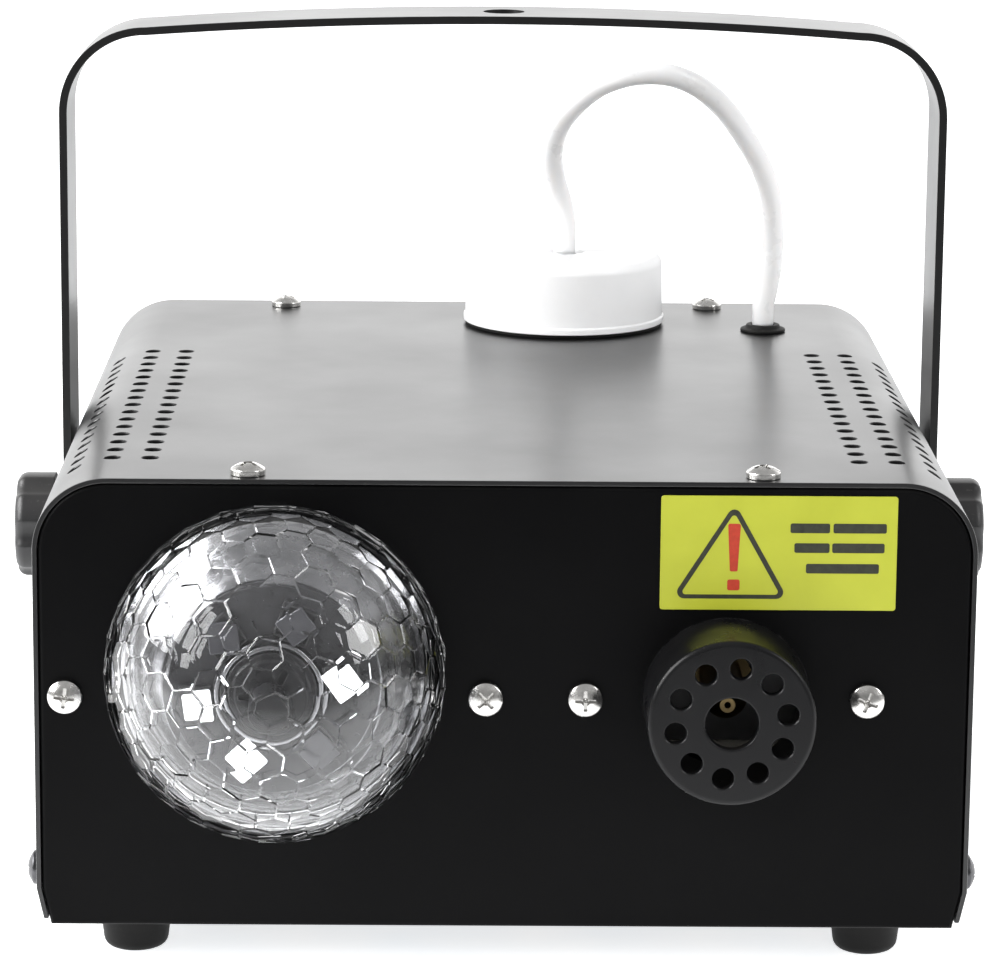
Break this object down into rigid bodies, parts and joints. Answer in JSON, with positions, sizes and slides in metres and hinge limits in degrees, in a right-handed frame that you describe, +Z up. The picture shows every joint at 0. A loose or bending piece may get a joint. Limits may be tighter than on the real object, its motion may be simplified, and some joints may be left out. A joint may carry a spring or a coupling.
{
  "type": "fog machine",
  "caption": "Compact fog machine with a turning crystal light dome, ringed fog outlet, screw-capped fluid tank with suction hose and a tilting bail handle.",
  "frame": {"origin": "centre of the whole part's footprint on the resting surface, under the rubber feet", "axes": "+Z up; the fog outlet and the crystal dome face -Y; +X is to the right when the outlet side is looked at"},
  "size_m": [0.251, 0.292, 0.215],
  "materials": {
    "sheet_black": "satin black powder coat",
    "cover_black": "satin black powder coat",
    "bail_black": "satin black powder coat",
    "bright_screw": "nickel-plated steel",
    "dark_screw": "blackened steel",
    "rubber_black": "matte rubber",
    "knob_black": "fine-textured moulded plastic",
    "nylon": "natural nylon",
    "zinc_steel": "zinc-plated",
    "clear_dome": "clear faceted polycarbonate",
    "lamp_silver": "metallised plastic",
    "motor_dark": "dark moulded case",
    "board_white": "white solder mask",
    "lens_clear": "clear acrylic",
    "shroud_black": "semi-gloss black",
    "brass": "machined",
    "cast_alloy": "cast and milled",
    "heater_steel": "heat-tinted",
    "glass_fibre": "woven glass-fibre sleeve",
    "ceramic_white": "glazed ceramic body",
    "coil_tape": "varnished winding tape",
    "spring_steel": "drawn wire",
    "tube_milky": "milky silicone",
    "tank_milky": "blow-moulded polyethylene",
    "cap_white": "moulded polypropylene",
    "board_green": "green solder mask",
    "core_steel": "laminated core",
    "part_blue": "moulded component cases",
    "inlet_black": "moulded thermoset",
    "pin_nickel": "nickel-plated",
    "switch_red": "translucent red",
    "label_yellow": "printed vinyl"
  },
  "bodies": {
    "housing": {"base_tray": "sheet_black", "front_panel": "sheet_black", "rear_panel": "sheet_black", "top_cover": "cover_black", "top_screws": "bright_screw", "side_screws": "dark_screw", "front_screws": "bright_screw", "rubber_feet": "rubber_black", "foot_screws": "zinc_steel", "friction_washers": "rubber_black", "captive_nuts": "zinc_steel", "dome_motor": "motor_dark", "lamp_base": "lamp_silver", "lamp_bracket": "zinc_steel", "led_board": "board_white", "led_lenses": "lens_clear", "nozzle_shroud": "shroud_black", "outlet_nozzle": "brass", "heater_block": "cast_alloy", "cartridge_heaters": "heater_steel", "heater_brackets": "zinc_steel", "insulation_wrap": "glass_fibre", "thermostat": "ceramic_white", "thermal_fuse": "ceramic_white", "pump_yoke": "zinc_steel", "pump_coil": "coil_tape", "pump_tube": "brass", "pump_spring": "spring_steel", "outlet_tube": "tube_milky", "fluid_tank": "tank_milky", "neck_gasket": "rubber_black", "pickup_tube": "tube_milky", "fluid_hose": "tube_milky", "hose_grommet": "rubber_black", "pump_hose": "tube_milky", "control_board": "board_green", "board_standoffs": "brass", "transformer": "core_steel", "board_parts": "part_blue", "power_inlet": "inlet_black", "inlet_pins": "pin_nickel", "rocker_frame": "inlet_black", "button_bezel": "pin_nickel", "button_spring": "spring_steel", "warning_label": "label_yellow"},
    "bail": {"bail_handle": "bail_black"},
    "left_clamp": {"clamp_washer_left": "nylon"},
    "left_knob": {"clamp_knob_left": "knob_black", "clamp_stud_left": "zinc_steel"},
    "right_clamp": {"clamp_washer_right": "nylon"},
    "right_knob": {"clamp_knob_right": "knob_black", "clamp_stud_right": "zinc_steel"},
    "dome": {"crystal_dome": "clear_dome", "dome_hub": "bright_screw"},
    "cap_thread": {"cap_liner": "nylon"},
    "cap": {"fluid_cap": "cap_white"},
    "rocker": {"power_rocker": "switch_red"},
    "button": {"fog_button": "switch_red"},
    "drawer": {"fuse_drawer": "inlet_black"},
    "plunger": {"pump_plunger": "zinc_steel"}
  },
  "joints": [
    {"name": "bail_tilt", "type": "hinge", "parent": "housing", "child": "bail", "pos_m": [0, 0.018, 0.0805], "axis": [1, 0, 0], "range_deg": [-65, 65]},
    {"name": "left_clamp_travel", "type": "slide", "parent": "housing", "child": "left_clamp", "axis": [-1, 0, 0], "range_m": [0, 0.001]},
    {"name": "left_knob_turn", "type": "hinge", "parent": "left_clamp", "child": "left_knob", "pos_m": [-0.114, 0.018, 0.0805], "axis": [1, 0, 0], "range_deg": [0, 361]},
    {"name": "right_clamp_travel", "type": "slide", "parent": "housing", "child": "right_clamp", "axis": [1, 0, 0], "range_m": [0, 0.001]},
    {"name": "right_knob_turn", "type": "hinge", "parent": "right_clamp", "child": "right_knob", "pos_m": [0.114, 0.018, 0.0805], "axis": [1, 0, 0], "range_deg": [0, 361]},
    {"name": "dome_spin", "type": "hinge", "parent": "housing", "child": "dome", "pos_m": [-0.0535, -0.105, 0.0735], "axis": [0, -1, 0], "continuous": true},
    {"name": "cap_lift", "type": "slide", "parent": "housing", "child": "cap_thread", "axis": [0, 0, 1], "range_m": [0, 0.0036]},
    {"name": "cap_turn", "type": "hinge", "parent": "cap_thread", "child": "cap", "pos_m": [0.0185, 0.108, 0.12], "axis": [0, 0, 1], "range_deg": [0, 433]},
    {"name": "power_rocker_tip", "type": "hinge", "parent": "housing", "child": "rocker", "pos_m": [-0.074, 0.138, 0.091], "axis": [0, 0, 1], "range_deg": [0, 18]},
    {"name": "fog_button_press", "type": "slide", "parent": "housing", "child": "button", "axis": [0, -1, 0], "range_m": [0, 0.003], "stiffness_N_per_m": 300, "springref_m": -0.003, "deforming": ["button_spring"]},
    {"name": "fuse_drawer_pull", "type": "slide", "parent": "housing", "child": "drawer", "axis": [0, 1, 0], "range_m": [0, 0.016]},
    {"name": "pump_stroke", "type": "slide", "parent": "housing", "child": "plunger", "axis": [0, 0, -1], "range_m": [0, 0.004], "stiffness_N_per_m": 600, "springref_m": -0.003, "deforming": ["pump_spring"]}
  ],
  "couplings": [
    {"joint": "left_knob_turn", "follows": "left_clamp_travel", "rad_per_m": 6283.2},
    {"joint": "right_knob_turn", "follows": "right_clamp_travel", "rad_per_m": 6283.2},
    {"joint": "cap_turn", "follows": "cap_lift", "rad_per_m": 2094.4}
  ]
}
